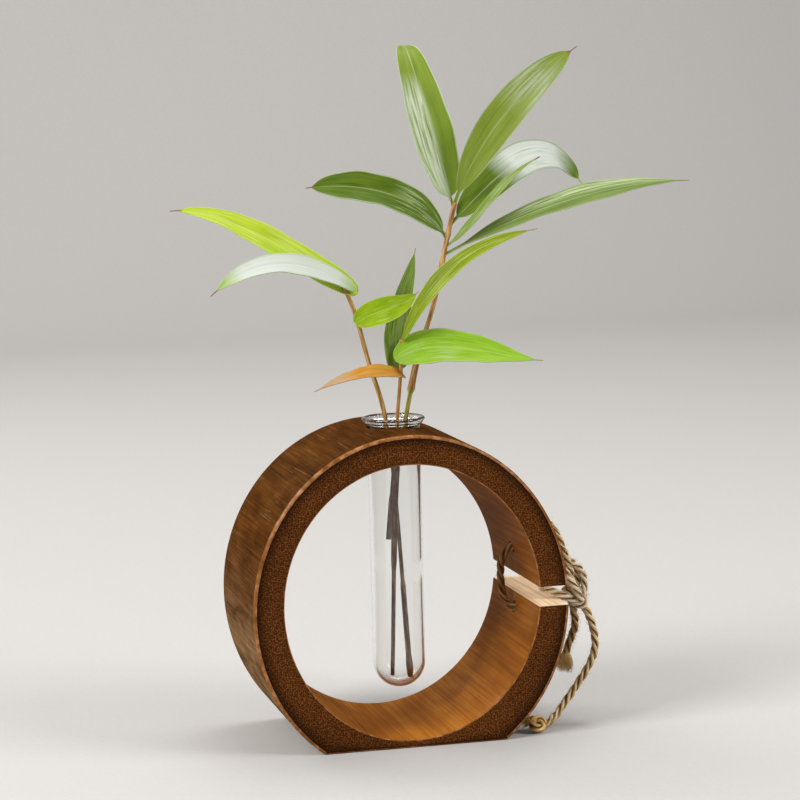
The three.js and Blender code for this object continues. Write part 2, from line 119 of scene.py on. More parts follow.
def points_at(line, marks):
    """Points of a line at lengths from its start."""
    run = run_along(line)
    return np.column_stack([np.interp(marks, run, line[:, k]) for k in range(3)])


def line_frames(line):
    """Direction, side and up at each point of a line, without twist."""
    along = unit(np.gradient(line, axis=0))
    rough = (0, 0, 1) if abs(along[0][2]) < 0.9 else (1, 0, 0)
    sides = [unit(np.cross(along[0], rough))]
    for a in along[1:]:
        sides.append(unit(sides[-1] - a * np.dot(sides[-1], a)))
    sides = np.array(sides)
    return along, sides, np.cross(along, sides)


class Shape:
    """Points, faces, face coordinates and face materials of one piece."""

    def __init__(self):
        self.points = []
        self.faces = []
        self.coords = []
        self.looks = []

    def skin(self, rings, around, lengthwise, looks=None, caps=0):
        """Closed rings joined in turn, with a cap on both ends."""
        rows, count = rings.shape[:2]
        base = len(self.points)
        self.points.extend(rings.reshape(-1, 3))
        looks = [0] * count if looks is None else looks
        for r in range(rows - 1):
            for i in range(count):
                j = (i + 1) % count
                low, high = base + r * count, base + (r + 1) * count
                self.faces.append((low + i, low + j, high + j, high + i))
                v0, v1 = lengthwise[r], lengthwise[r + 1]
                u0, u1 = around[i], around[i + 1]
                self.coords.extend(((u0, v0), (u1, v0), (u1, v1), (u0, v1)))
                self.looks.append(looks[i])
        last = base + (rows - 1) * count
        self.faces.append(tuple(base + i for i in reversed(range(count))))
        self.faces.append(tuple(last + i for i in range(count)))
        self.coords.extend([(0, lengthwise[0])] * count + [(0, lengthwise[-1])] * count)
        self.looks.extend([caps, caps])

    def rod(self, line, radius, sides, start=0, side=None, around=None):
        """Round rod along a line. A side turns its seam that way."""
        along, plain_side, up = line_frames(line)
        if side is None:
            side = plain_side
        else:
            side = unit(side - along * np.sum(side * along, axis=1)[:, None])
            up = np.cross(along, side)
        angle = np.linspace(0, 2 * np.pi, sides, endpoint=False)
        radius = np.broadcast_to(radius, len(line))[:, None, None]
        rim = np.cos(angle)[None, :, None] * side[:, None] + np.sin(angle)[None, :, None] * up[:, None]
        rings = line[:, None] + radius * rim
        around = np.linspace(0, 1, sides + 1) if around is None else around
        self.skin(rings, around, start + run_along(line))

    def make(self, name, looks):
        mesh = bpy.data.meshes.new(name)
        points = (np.array(self.points) * MM).tolist()
        mesh.from_pydata(points, [], self.faces)
        layer = mesh.uv_layers.new(name="coords")
        layer.uv.foreach_set("vector", np.array(self.coords, np.float32).ravel())
        mesh.polygons.foreach_set("material_index", self.looks)
        mesh.polygons.foreach_set("use_smooth", [True] * len(mesh.polygons))
        for look in looks:
            mesh.materials.append(look)
        return add_object(name, mesh)


def settle(piece, body, slot, *nodes):
    """Ties a piece to its body and hides the CAD nodes it stands for. Its finish is not used."""
    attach(piece, body)
    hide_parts(*nodes)


# Materials
class Look:
    """A material put together from nodes."""

    def __init__(self, name, roughness):
        self.material = bpy.data.materials.new(name)
        self.material.use_nodes = True
        self.tree = self.material.node_tree
        self.shader = self.tree.nodes["Principled BSDF"]
        self.set("Roughness", roughness)

    def set(self, name, value):
        self.shader.inputs[name].default_value = value

    def node(self, kind, values=None, **settings):
        """New node with the values of its inputs and its settings."""
        made = self.tree.nodes.new(kind)
        for key, value in settings.items():
            setattr(made, key, value)
        for key, value in (values or {}).items():
            made.inputs[key].default_value = value
        return made

    def join(self, source, target):
        self.tree.links.new(source, target)

    def place(self, scale, source="Object"):
        """Coordinates stretched by a scale for each axis."""
        coords = self.node("ShaderNodeTexCoord")
        mapping = self.node("ShaderNodeMapping", {"Scale": scale})
        self.join(coords.outputs[source], mapping.inputs["Vector"])
        return mapping.outputs["Vector"]

    def noise(self, scale, detail=3, source="Object", rough=0.55, bend=0):
        values = {"Scale": 1, "Detail": detail, "Roughness": rough, "Distortion": bend}
        made = self.node("ShaderNodeTexNoise", values)
        self.join(self.place(scale, source), made.inputs["Vector"])
        return made.outputs["Fac"]

    def cells(self, scale, randomness):
        made = self.node("ShaderNodeTexVoronoi", {"Scale": 1, "Randomness": randomness})
        self.join(self.place(scale), made.inputs["Vector"])
        return made.outputs["Distance"]

    def ramp(self, source, *stops):
        """Colours at places along a value."""
        made = self.node("ShaderNodeValToRGB")
        points = made.color_ramp.elements
        while len(points) < len(stops):
            points.new(0.5)
        for point, (place, color) in zip(points, stops):
            point.position = place
            point.color = tuple(color) + (1,)
        self.join(source, made.inputs["Fac"])
        return made.outputs["Color"]

    def band(self, source, *stops):
        """Grey levels at places along a value."""
        return self.ramp(source, *[(place, (level,) * 3) for place, level in stops])

    def within(self, source, low, high, soft):
        """1 between two places and 0 beyond them, with soft ends."""
        return self.band(source, (low - soft, 0.0), (low + soft, 1.0), (high - soft, 1.0), (high + soft, 0.0))

    def mix(self, share, first, second, mode="MIX"):
        made = self.node("ShaderNodeMix", data_type="RGBA", blend_type=mode)
        if isinstance(share, float):
            made.inputs["Factor"].default_value = share
        else:
            self.join(share, made.inputs["Factor"])
        self.join(first, made.inputs[6])
        self.join(second, made.inputs[7])
        return made.outputs[2]

    def math(self, kind, first, second=None):
        made = self.node("ShaderNodeMath", operation=kind)
        for socket, value in zip(made.inputs, (first, second)):
            if value is None:
                continue
            if isinstance(value, (int, float)):
                socket.default_value = value
            else:
                self.join(value, socket)
        return made.outputs[0]

    def blend(self, first, second, share=0.5):
        """Mean of two values, with the second's share."""
        return self.math("ADD", self.math("MULTIPLY", first, 1 - share), self.math("MULTIPLY", second, share))

    def axis(self, name, source="Object"):
        """One coordinate on its own."""
        coords = self.node("ShaderNodeTexCoord")
        split = self.node("ShaderNodeSeparateXYZ")
        self.join(coords.outputs[source], split.inputs[0])
        return split.outputs[name]

    def step(self, value, start, width):
        """Rises from 0 at a start to 1 over a width."""
        share = self.math("DIVIDE", self.math("SUBTRACT", value, start), width)
        return self.math("MINIMUM", self.math("MAXIMUM", share, 0.0), 1.0)

    def color(self, source):
        self.join(source, self.shader.inputs["Base Color"])

    def gloss(self, share, roughness):
        """An even film of polish in place of the shader's own reflection."""
        self.set("Specular IOR Level", 0)
        self.layer(share, self.node("ShaderNodeBsdfGlossy", {"Roughness": roughness}))

    def layer(self, share, other):
        """Mixes a share of another shader into the surface."""
        both = self.node("ShaderNodeMixShader", {"Fac": share})
        self.join(self.shader.outputs[0], both.inputs[1])
        self.join(other.outputs[0], both.inputs[2])
        self.join(both.outputs[0], self.tree.nodes["Material Output"].inputs["Surface"])

    def bump(self, height, distance):
        made = self.node("ShaderNodeBump", {"Strength": 1, "Distance": distance * MM})
        self.join(height, made.inputs["Height"])
        self.join(made.outputs["Normal"], self.shader.inputs["Normal"])


def per_mm(x, y, z):
    """Texture scale from waves per millimetre, for coordinates in metres."""
    return (x / MM, y / MM, z / MM)


# Painted shade on twine inside the ring: how far in from the bore's side it is full, and the width over which
# it fades
PAINTED_SHADE_INSIDE = 3.5
PAINTED_SHADE_WIDTH = 4
DARK_SHARE = 0.4


def twine_look(name, dark, pale):
    """Twisted fibres, with painted shade in the grooves between strands and where it runs inside the ring."""
    look = Look(name, roughness=0.9)
    fibres = look.noise((9, 0.2, 1), detail=5, source="UV", rough=0.6, bend=0.3)
    patches = look.noise((0.6, 0.1, 1), detail=2, source="UV")
    middle = tuple(DARK_SHARE * a + (1 - DARK_SHARE) * b for a, b in zip(dark, pale))
    tan = look.ramp(fibres, (0.36, dark), (0.46, middle), (0.58, pale))
    outward = look.math("ABSOLUTE", look.math("SUBTRACT", look.axis("X", "UV"), 0.5))
    # Painted shade on the inner faces of each ply, where the grooves between strands lie
    painted_groove_shade = look.ramp(outward, (0.16, (0.12, 0.07, 0.04)), (0.3, (0.6, 0.52, 0.42)), (0.4, (1, 1, 1)))
    dull = look.ramp(patches, (0.35, (0.76, 0.64, 0.48)), (0.6, (1, 1, 1)))
    sideways = look.math("DIVIDE", look.axis("X"), MM)
    # Painted shade, darkening the twine where it runs inside the ring
    outside = look.step(sideways, BORE_HALF[0] - PAINTED_SHADE_INSIDE, PAINTED_SHADE_WIDTH)
    inside_painted_shade = look.ramp(outside, (0.0, (0.34, 0.22, 0.13)), (1.0, (1, 1, 1)))
    # Random dull patches and the painted shade inside the ring, multiplied into the fibres' colour
    worn = look.mix(1.0, look.mix(1.0, tan, dull, "MULTIPLY"), inside_painted_shade, "MULTIPLY")
    look.color(look.mix(1.0, worn, painted_groove_shade, "MULTIPLY"))
    look.bump(fibres, 0.14)
    look.gloss(0.01, 0.6)
    return look.material


GRAIN_DEPTH = 12


def end_grain_look():
    """Cut ends of the fibres: dark dots in brown, denser and darker towards the skin."""
    look = Look("end_grain", roughness=0.6)
    cells = look.cells(per_mm(1.5, 0.05, 1.5), 0.65)
    blur = look.noise(per_mm(0.7, 0.1, 0.7), detail=2)
    grain = look.math("ADD", cells, look.math("MULTIPLY", blur, 0.14))
    spots = look.ramp(grain, (0.24, (0.022, 0.0052, 0.0007)), (0.46, (0.062, 0.018, 0.0028)),
                      (0.72, (0.15, 0.05, 0.0105)))
    depth = look.math("DIVIDE", look.axis("X", "UV"), GRAIN_DEPTH)
    dense = look.band(
        depth, (0.1, 0.22), (0.2, 0.42), (0.36, 0.8), (0.55, 1.0), (0.9, 0.95), (1.0, 0.65))
    tone = look.band(look.noise(per_mm(0.05, 0.01, 0.05), detail=2), (0.3, 0.85), (0.7, 1.1))
    look.color(look.mix(1.0, look.mix(1.0, spots, tone, "MULTIPLY"), dense, "MULTIPLY"))
    look.bump(grain, 0.04)
    look.gloss(0.004, 0.5)
    return look.material


# Heights and places in metres, as the materials see them
SKIN_TOP = 0.12
# Painted reflection on the skin: left of this it is strongest, and it fades over this width to the right
PAINTED_REFLECTION_LEFT = -0.03
PAINTED_REFLECTION_FADE = 0.05
BORE_TOP = 0.1


def skin_look():
    """Dark mottled skin with streaks along the culm, scratches, and a painted reflection that makes it paler
    low on its left.
    """
    look = Look("culm_skin", roughness=0.34)
    streaks = look.noise(per_mm(1.4, 0.025, 1.4), detail=4)
    mottle = look.noise(per_mm(0.09, 0.035, 0.09), detail=6, rough=0.65, bend=0.4)
    scratches = look.noise(per_mm(1.7, 0.03, 1.7), detail=2)
    worn = look.noise(per_mm(0.04, 0.04, 0.04), detail=2)
    brown = look.ramp(
        look.blend(streaks, mottle), (0.34, (0.03, 0.0085, 0.0006)), (0.46, (0.062, 0.02, 0.0018)),
        (0.56, (0.092, 0.031, 0.0036)), (0.7, (0.15, 0.056, 0.01)))
    height = look.math("DIVIDE", look.axis("Z"), SKIN_TOP)
    # Painted reflection: paler streaky tones low on the skin, strongest on its left
    low = look.band(height, (0.1, 0.8), (0.34, 0.6), (0.48, 0.14), (0.66, 0.0))
    scratch_and_reflection_tone = look.ramp(streaks, (0.3, (0.2, 0.105, 0.043)), (0.7, (0.38, 0.24, 0.125)))
    scratched = look.band(scratches, (0.65, 0.0), (0.72, 0.6))
    lines = look.math("MULTIPLY", scratched, look.band(worn, (0.4, 0.1), (0.6, 1.0)))
    leftward = look.band(look.step(look.axis("X"), PAINTED_REFLECTION_LEFT, PAINTED_REFLECTION_FADE), (0.0, 1.0), (1.0, 0.2))
    patchy_painted_reflection = look.math("MULTIPLY", low, look.band(mottle, (0.36, 0.2), (0.6, 1.0)))
    painted_reflection = look.math("MULTIPLY", patchy_painted_reflection, leftward)
    # Scratches and the painted reflection both take the paler tone
    look.color(look.mix(look.math("MAXIMUM", lines, painted_reflection), brown, scratch_and_reflection_tone))
    look.bump(streaks, 0.05)
    look.gloss(0.012, 0.35)
    return look.material


def edge_painted_highlight_look():
    """The shiny rounded edge between skin and end grain, whose paler tones are a painted highlight."""
    look = Look("culm_edge_painted_highlight", roughness=0.28)
    wear_and_painted_highlight = look.noise(per_mm(0.36, 0.36, 0.36), detail=4)
    # Painted highlight: the paler tones stand in for light caught on the rounded edge
    look.color(look.ramp(
        wear_and_painted_highlight, (0.3, (0.12, 0.04, 0.006)), (0.5, (0.24, 0.088, 0.02)), (0.68, (0.4, 0.19, 0.075))))
    look.gloss(0.02, 0.3)
    return look.material


def bore_look():
    """Inner wall with streaks along the culm, paler towards its lowest part in painted light and darker
    higher up in painted shade.
    """
    look = Look("culm_bore", roughness=0.36)
    streaks = look.noise(per_mm(0.98, 0.0161, 0.98), detail=4)
    mottle = look.noise(per_mm(0.0575, 0.0172, 0.0575), detail=4)
    brown = look.ramp(
        look.blend(streaks, mottle, 0.55), (0.34, (0.19, 0.054, 0.0017)), (0.5, (0.326, 0.105, 0.006)),
        (0.66, (0.522, 0.195, 0.02)))
    height = look.math("DIVIDE", look.axis("Z"), BORE_TOP)
    # Painted light and shade: the wall darkens upward from its lowest part
    tone = look.ramp(height, (0.04, (1, 1, 1)), (0.2, (0.86, 0.86, 0.86)), (0.5, (0.56, 0.53, 0.5)))
    look.color(look.mix(1.0, brown, tone, "MULTIPLY"))
    look.bump(streaks, 0.04)
    look.gloss(0.03, 0.3)
    return look.material


def sawn_look():
    """Pale wood where the saw cut the ring."""
    look = Look("sawn_wood", roughness=0.6)
    fibres = look.noise(per_mm(1.1, 0.03, 1.1), detail=4)
    look.color(look.ramp(
        fibres, (0.3, (0.66, 0.46, 0.26)), (0.5, (0.84, 0.65, 0.43)), (0.7, (0.92, 0.78, 0.58))))
    look.bump(fibres, 0.08)
    return look.material


def drilled_look():
    """Dark wood in the drilled holes."""
    look = Look("drilled_wood", roughness=0.8)
    fibres = look.noise(per_mm(0.8, 0.1, 0.8), detail=3)
    look.color(look.ramp(fibres, (0.35, (0.02, 0.007, 0.002)), (0.65, (0.08, 0.026, 0.007))))
    return look.material


GLASS_INDEX = 1.47


def glass_look():
    """Clear glass with a faint change of tint."""
    look = Look("clear_glass", roughness=0.0)
    look.set("Transmission Weight", 1)
    look.set("IOR", GLASS_INDEX)
    ripple = look.noise(per_mm(0.05, 0.05, 0.02), detail=1)
    look.color(look.ramp(ripple, (0.3, (0.98, 0.985, 0.98)), (0.7, (0.99, 0.995, 0.99))))
    return look.material


FRESH_FADE = 1.0
WET_FADE = 4.0
BARK_TINT = 0.35


def stem_look(name, above, wet_height, fresh):
    """A twig, tan in the air, brown where it stands in the tube, and green up to a fresh height."""
    look = Look(name, roughness=0.5)
    fibres = look.noise((6, 0.12, 1), detail=4, source="UV")
    patches = look.noise(per_mm(0.25, 0.25, 0.08), detail=3)
    dark, mid, pale = above
    air = look.ramp(fibres, (0.3, dark), (0.5, mid), (0.72, pale))
    wet = look.ramp(
        fibres, (0.36, (0.05, 0.02, 0.005)), (0.5, (0.17, 0.085, 0.028)), (0.64, (0.5, 0.3, 0.14)))
    green = look.ramp(
        fibres, (0.3, (0.14, 0.13, 0.012)), (0.5, (0.32, 0.3, 0.04)), (0.72, (0.55, 0.5, 0.12)))
    height = look.math("DIVIDE", look.axis("Z"), MM)
    tinted = look.mix(look.band(patches, (0.35, 0.0), (0.7, 0.5)), air, wet)
    bark = look.mix(BARK_TINT, air, tinted)
    bark = look.mix(look.step(height, fresh, FRESH_FADE), green, bark)
    look.color(look.mix(look.step(height, wet_height, WET_FADE), wet, bark))
    look.bump(fibres, 0.05)
    look.set("Specular IOR Level", 0.25)
    return look.material


LEAF_GLOW = 0.35
SHEEN_SOFT = 0.07


def leaf_shine(look, across, lengthwise, sheen):
    """Where the pale sheen of a blade lies, in ragged streaks."""
    streaks = look.noise((15, 4, 1), detail=5, source="UV", rough=0.6, bend=0.6)
    reach = look.within(lengthwise, *sheen["along"], SHEEN_SOFT)
    side = look.within(across, *sheen["across"], SHEEN_SOFT)
    fill = sheen["fill"]
    glint = look.band(streaks, (0.62 - 0.45 * fill, 0.0), (0.8 - 0.4 * fill, 1.0))
    return look.math("MULTIPLY", look.math("MULTIPLY", reach, side), glint)


def leaf_look(name, deep, light, tip, sheen):
    """A blade with fine veins, a midrib, pale edges of painted rim light, a dry tip and a pale sheen."""
    look = Look(name, roughness=0.45)
    across = look.axis("X", "UV")
    lengthwise = look.axis("Y", "UV")
    veins = look.noise((36, 0.7, 1), detail=4, source="UV", rough=0.65)
    patches = look.noise((4, 3.5, 1), detail=4, source="UV", bend=0.4)
    off = look.math("ABSOLUTE", look.math("SUBTRACT", across, 0.5))
    green = look.ramp(look.blend(veins, patches), (0.38, deep), (0.6, light))
    pale = sheen["color"]
    faint = look.ramp(veins, (0.34, tuple(0.8 * c for c in pale)), (0.62, pale))
    shine = leaf_shine(look, across, lengthwise, sheen)
    # A pale midrib, and pale edges that are a painted rim light
    lines = look.band(off, (0.0, 0.5), (0.016, 0.12), (0.03, 0.0), (0.46, 0.0), (0.488, 0.75))
    painted = look.mix(look.math("MAXIMUM", lines, shine), green, faint)
    dry = look.ramp(veins, (0.3, tip), (0.7, tuple(min(1.0, c * 1.6) for c in tip)))
    ragged = look.math("ADD", lengthwise, look.math("MULTIPLY", patches, 0.02))
    painted = look.mix(look.band(ragged, (0.945, 0.0), (0.975, 1.0)), painted, dry)
    look.color(painted)
    look.bump(look.math("SUBTRACT", veins, look.band(off, (0.0, 1.0), (0.04, 0.0))), 0.03)
    look.set("Specular IOR Level", 0.15)
    glow = look.node("ShaderNodeBsdfTranslucent")
    look.join(painted, glow.inputs["Color"])
    look.layer(LEAF_GLOW, glow)
    return look.material


# Twine: three plies laid together, with loose fibres
PLIES = 3
PLY_RADIUS = 0.74
PLY_OFFSET = 0.8
TWINE_LAY = 13.5
TWINE_STEP = 0.45
PLY_SIDES = 8
PLY_SHIFT = 7.3
PLY_WOBBLES = ((0.06, 1.7, 2.1), (0.04, 0.63, 1))  # size, pace, shift by ply
FIBRE = 0.05
FIBRE_POINTS = 5
FIBRE_SIDES = 3
FIBRE_TIP = 0.4
FIBRE_SHIFT = 40
FUZZ_ROOT = 1.25
FUZZ_LEAN = 1.2
FUZZ_BEND = 0.5
FUZZ_LENGTH = (0.5, 2.0)
FUZZ_REACH = 3.5
TUFT_ASIDE = (0.3, 1, 0.2)
TUFT_ROOT = 1.2
TUFT_REACH = (0.55, 1)
TUFT_BULGE = 0.75
TUFT_FAN = (0.2, 0.9)
TUFT_SCATTER = 0.25
TUFT_GIRTH = (1, 2.2)


def add_fibre(shape, points, radius=FIBRE):
    """One loose fibre, bent towards the middle of three points and thin at its tip."""
    t = np.linspace(0, 1, FIBRE_POINTS)[:, None]
    a, b, c = points
    line = a * (1 - t) ** 2 + 2 * b * t * (1 - t) + c * t ** 2
    line[:, 2] = np.maximum(line[:, 2], 2 * radius)
    taper = np.linspace(radius, radius * FIBRE_TIP, FIBRE_POINTS)
    shape.rod(line, taper, FIBRE_SIDES, start=rng.uniform(0, FIBRE_SHIFT), around=np.zeros(FIBRE_SIDES + 1))


def add_fuzz(shape, line, for_each_mm):
    """Loose fibres that stand out along a line of twine."""
    along, side, up = line_frames(line)
    count = int(run_along(line)[-1] * for_each_mm)
    for at in rng.integers(0, len(line), count):
        angle = rng.uniform(0, 2 * np.pi)
        out = np.cos(angle) * side[at] + np.sin(angle) * up[at]
        start = line[at] + FUZZ_ROOT * out
        heading = unit(out + rng.normal(0, FUZZ_LEAN) * along[at])
        length = rng.uniform(*FUZZ_LENGTH)
        bend = np.clip(rng.normal(0, FUZZ_BEND, 3), -1, 1)
        tip = start + (heading + bend / 2) * length
        off = tip - line[at]
        tip = line[at] + off * min(1, FUZZ_REACH / np.linalg.norm(off))
        add_fibre(shape, (start, start + heading * length / 2, tip))


def add_twine(shape, route, turn=0.0, fuzz=5):
    """Twine along a route. Returns its middle line."""
    line = smooth_line(route, TWINE_STEP)
    _, side, up = line_frames(line)
    run = run_along(line)
    for ply in range(PLIES):
        phase = (turn + 2 * np.pi * (ply / PLIES - run / TWINE_LAY))[:, None]
        outward = np.cos(phase) * side + np.sin(phase) * up
        strand = line + PLY_OFFSET * outward
        wobble = 1
        for size, pace, shift in PLY_WOBBLES:
            wobble = wobble + size * np.sin(run * pace + shift * ply)
        shape.rod(strand, PLY_RADIUS * wobble, PLY_SIDES, start=PLY_SHIFT * ply, side=outward)
    add_fuzz(shape, line, fuzz)
    return line


def add_tuft(shape, start, heading, length, spread, count):
    """Fibres that fan out from a cut end."""
    side = unit(np.cross(heading, TUFT_ASIDE))
    up = np.cross(heading, side)
    for _ in range(count):
        angle = rng.uniform(0, 2 * np.pi)
        far = math.sqrt(rng.uniform(0, 1))
        out = np.cos(angle) * side + np.sin(angle) * up
        root = start + TUFT_ROOT * far * out
        reach = length * rng.uniform(*TUFT_REACH)
        middle = root + heading * reach / 2 + out * spread * far * TUFT_BULGE
        fan = out * spread * far * rng.uniform(*TUFT_FAN)
        tip = root + heading * reach + fan + rng.normal(0, TUFT_SCATTER, 3)
        add_fibre(shape, (root, middle, tip), FIBRE * rng.uniform(*TUFT_GIRTH))


# Half width and half height of the ovals, and the heights of their middles
RING_HALF = (60.0, 64.4)
RING_CENTRE = 52.2
BORE_HALF = (48.5, 51.5)
BORE_CENTRE = 54.1
GAP_CENTRE = 53.2
GAP_HALF = 3.7
WALL_SIDE = 11.5
HOLE_STEPS = 6


def oval_half_width(half, centre, z):
    return half[0] * math.sqrt(1 - ((z - centre) / half[1]) ** 2)


def skin_at(z):
    return oval_half_width(RING_HALF, RING_CENTRE, z)


def bore_at(z):
    return oval_half_width(BORE_HALF, BORE_CENTRE, z)


def lash_hole(rise, tilt):
    """Mouth inside the ring, direction outwards and mouth on the skin."""
    z = GAP_CENTRE + rise
    inner = np.array((bore_at(z), 0, z))
    lean = math.radians(tilt)
    out = np.array((math.cos(lean), 0, math.sin(lean)))
    reach = WALL_SIDE
    for _ in range(HOLE_STEPS):
        reach = (skin_at(z + reach * out[2]) - inner[0]) / out[0]
    return inner, out, inner + out * reach


KNOT_OUT = 6.4
KNOT_DEPTH = -14.5
KNOT_RISE = 0.6
UPPER_HOLE = lash_hole(rise=13.8, tilt=25)
LOWER_HOLE = lash_hole(rise=-9.4, tilt=-18)
KNOT = np.array((skin_at(GAP_CENTRE) + KNOT_OUT, KNOT_DEPTH, GAP_CENTRE + KNOT_RISE))


def by_skin(rise, off, y):
    """Point off the skin, at a rise over the gap."""
    return (skin_at(GAP_CENTRE + rise) + off, y, GAP_CENTRE + rise)


def by_bore(rise, off, y):
    """Point off the bore, at a rise over the gap."""
    return (bore_at(GAP_CENTRE + rise) - off, y, GAP_CENTRE + rise)


def loop_route():
    """Up from the knot to the upper hole, down inside the ring and back through the lower hole."""
    inner_up, out_up, outer_up = UPPER_HOLE
    inner_low, out_low, outer_low = LOWER_HOLE
    x, y, z = KNOT
    return [
        KNOT,
        (x - 0.8, y - 0.8, z + 5),
        by_skin(10.3, 4.8, y - 2.2),
        by_skin(15.3, 4, y - 3.2),
        by_skin(19.2, 3.4, y - 3.4),
        by_skin(22.4, 3, y - 1.8),
        by_skin(23.8, 3, y + 2.2),
        by_skin(23.6, 3, y + 6.5),
        by_skin(22.2, 3, y + 9.8),
        outer_up + 2 * out_up + (0, -1, 0.4),
        outer_up - 2.5 * out_up,
        inner_up - 0.8 * out_up,
        by_bore(9, 4.6, 1),
        by_bore(3.8, 5.4, 2),
        by_bore(-1.7, 5.2, 2),
        by_bore(-6, 4.2, 1.2),
        inner_low - 0.8 * out_low,
        outer_low - 2 * out_low,
        outer_low + 2.2 * out_low + (0, -1.2, 0.4),
        (x - 2.4, y + 9.6, GAP_CENTRE - 8.4),
        (x - 1, y + 5.6, GAP_CENTRE - 3),
        KNOT,
    ]


LONG_TAIL = [
    KNOT, (69.5, -15.6, 47.4), (72.8, -15.4, 41.2), (74.8, -15, 34.8), (75.3, -14.6, 29.5),
    (74.2, -14, 24.4), (71.3, -13.4, 18.8), (66.9, -13, 12.4), (62.8, -13.2, 7.2),
    (59.3, -14.8, 3.7), (55.6, -17.6, 2), (52, -20.8, 1.7), (49.6, -22.9, 1.7),
]
SHORT_TAIL = [
    KNOT, (67.4, -10.8, 46.8), (68.8, -9, 41.8), (69.6, -7.6, 36.6), (68.4, -6, 31.2),
    (66.9, -5.2, 26.8), (66.5, -5, 24.4),
]
# Turns of the end knot, from the tip of the long tail
END_KNOT = [
    (2.4, 1.4, 0.4), (0, -0.2, 2.6), (-3, -1.4, 2.4), (-2.4, -3.8, 0.6),
    (0.4, -3.6, 0.2), (0.6, -1.4, 2.6), (-2.6, -1, 3.2), (-4.6, -1.4, 2.4),
]
# Strands of the hitch as the photo shows them
FRONT_STRAND = [
    (61.2, -15.5, 61.6), (62.6, -17.8, 59.6), (63.8, -19.5, 56.7), (66, -20, 53.2), (68.2, -19, 49),
    (69.4, -16.4, 46.6),
]
RIGHT_STRAND = [
    (61.4, -12.5, 63.2), (64.8, -14, 63), (68.7, -13, 60.7), (71.7, -12, 56.4), (71.9, -12.5, 51.5),
    (69.4, -15, 47.8),
]
INNER_STRAND = [
    (61.6, -10.6, 60.8), (64.2, -12, 60.6), (67, -11.6, 59), (69.2, -11, 55.8), (69.4, -11.6, 51.8),
]
GAP_STRAND = [
    (54.1, -18, 53.7), (56.9, -18.5, 52.6), (60.1, -19.5, 51.4), (63.8, -19, 49.4), (67.6, -17, 47.1),
]
HUB_TURN = [
    (65.2, -12.5, 51.6), (66.2, -17.2, 47), (69.6, -17.6, 46.2), (71.2, -14.2, 48.4),
    (68.4, -11.6, 52.2), (65.4, -13.6, 54.4),
]


def twine_piece(shape, name, node, look):
    piece = shape.make(name, [look])
    settle(piece, "vase", "hemp_twine", node)
    return piece


def lay_twine(name, node, look, route, **lay):
    """A piece that is one length of twine. Returns it and its middle line."""
    shape = Shape()
    line = add_twine(shape, route, **lay)
    return twine_piece(shape, name, node, look), line


def lay_long_tail(hemp, frayed):
    """The long free tail, with the knot on its far end."""
    long_tail, line = lay_twine("tail_long", "long_tail", hemp, LONG_TAIL, fuzz=6)
    end = Shape()
    tip = line[-1]
    add_twine(end, [tip + np.array(p) for p in END_KNOT])
    add_tuft(end, tip + (-4.2, -1.4, 2.5), unit((-1, -0.2, 0.1)), length=3, spread=1.7, count=160)
    end_knot = twine_piece(end, "tail_long_knot", "long_tail_knot", frayed)


def lay_short_tail(brown, frayed):
    """The short free tail, with its frayed tuft."""
    short_tail, line = lay_twine("tail_short", "short_tail", brown, SHORT_TAIL, turn=1.2, fuzz=16)
    end = Shape()
    heading = unit(line[-1] - line[-3])
    add_tuft(end, line[-1] - heading, heading, length=7.8, spread=3.2, count=620)
    tuft = twine_piece(end, "tail_short_tuft", "short_tail_fray", frayed)


def lay_lashing(hemp, brown, pale):
    """The loop, the hitch that closes it and a strand within the hitch."""
    lay_twine("lashing", "lashing_loop", hemp, loop_route(), turn=0.5)
    shape = Shape()
    for turn, strand in enumerate((FRONT_STRAND, RIGHT_STRAND, GAP_STRAND, HUB_TURN)):
        add_twine(shape, strand, turn=0.9 * turn, fuzz=9)
    add_tuft(shape, np.array(GAP_STRAND[0]), unit((-1, 0.1, 0.35)), length=2.6, spread=0.7, count=70)
    # The hitch takes the paler copy of the hemp, which is painted light
    twine_piece(shape, "lashing_hitch", "lashing_knot", pale)
    lay_twine("lashing_inner_strand", "lashing_knot", brown, INNER_STRAND, turn=2.0, fuzz=16)


# Bamboo ring
RING_HALF_DEPTH = 32.0
EDGE_ROUND = 1.2
FOOT_EDGE = 0.4
BORE_EDGE = 0.4
STATIONS = 200
CULM_ROWS = 13
GRAIN_ROWS = 5
EDGE_STEPS = 4
BORE_EDGE_STEPS = 2
RING_SHARP = math.radians(32)
TUBE_PLAY = 0.3
TUBE_DRILL = (95, 130)
LASH_HOLE = 2.3
DRILL_PAST = 4
DRILL_SIDES = 64
SKIN, GRAIN, BORE, SAWN, DRILLED, EDGE = range(6)


def oval_angle(z, half, centre):
    """Angle in degrees of the right-hand point of an oval at a height."""
    return math.degrees(math.asin((z - centre) / half[1]))


def oval_point(angle, half, centre):
    a = np.radians(angle)
    return np.column_stack([half[0] * np.cos(a), np.zeros(len(a)), centre + half[1] * np.sin(a)])


